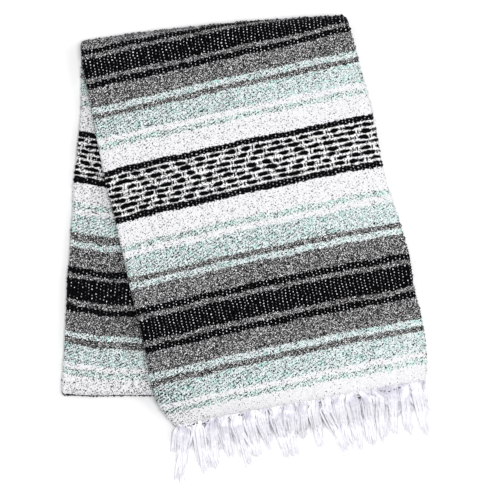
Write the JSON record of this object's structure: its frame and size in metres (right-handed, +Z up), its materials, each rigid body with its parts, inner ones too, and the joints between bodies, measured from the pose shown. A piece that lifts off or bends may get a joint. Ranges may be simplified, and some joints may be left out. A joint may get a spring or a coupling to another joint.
{
  "type": "folded mexican serape blanket",
  "caption": "Striped, fringed serape blanket, folded to a long pack and folded once more across, lying flat with its front flap askew over its rear flap.",
  "frame": {"origin": "on the surface it lies on, below the middle of its box", "axes": "+Z up through its thickness; +Y from the fringed hem towards the top fold; +X across it, to the right as seen from above"},
  "size_m": [0.4342, 0.5459, 0.0323],
  "materials": {
    "striped_cloth": "coarse weft-faced weave of recycled yarn in black, heather grey, mint and white stripes, matt",
    "fringe_yarn": "loose white yarn, matt"
  },
  "bodies": {
    "root": {"front_cloth": "striped_cloth", "rear_cloth": "striped_cloth", "folded_layers": "striped_cloth", "fringe_front_end": "fringe_yarn", "fringe_back_end": "fringe_yarn"}
  },
  "joints": []
}
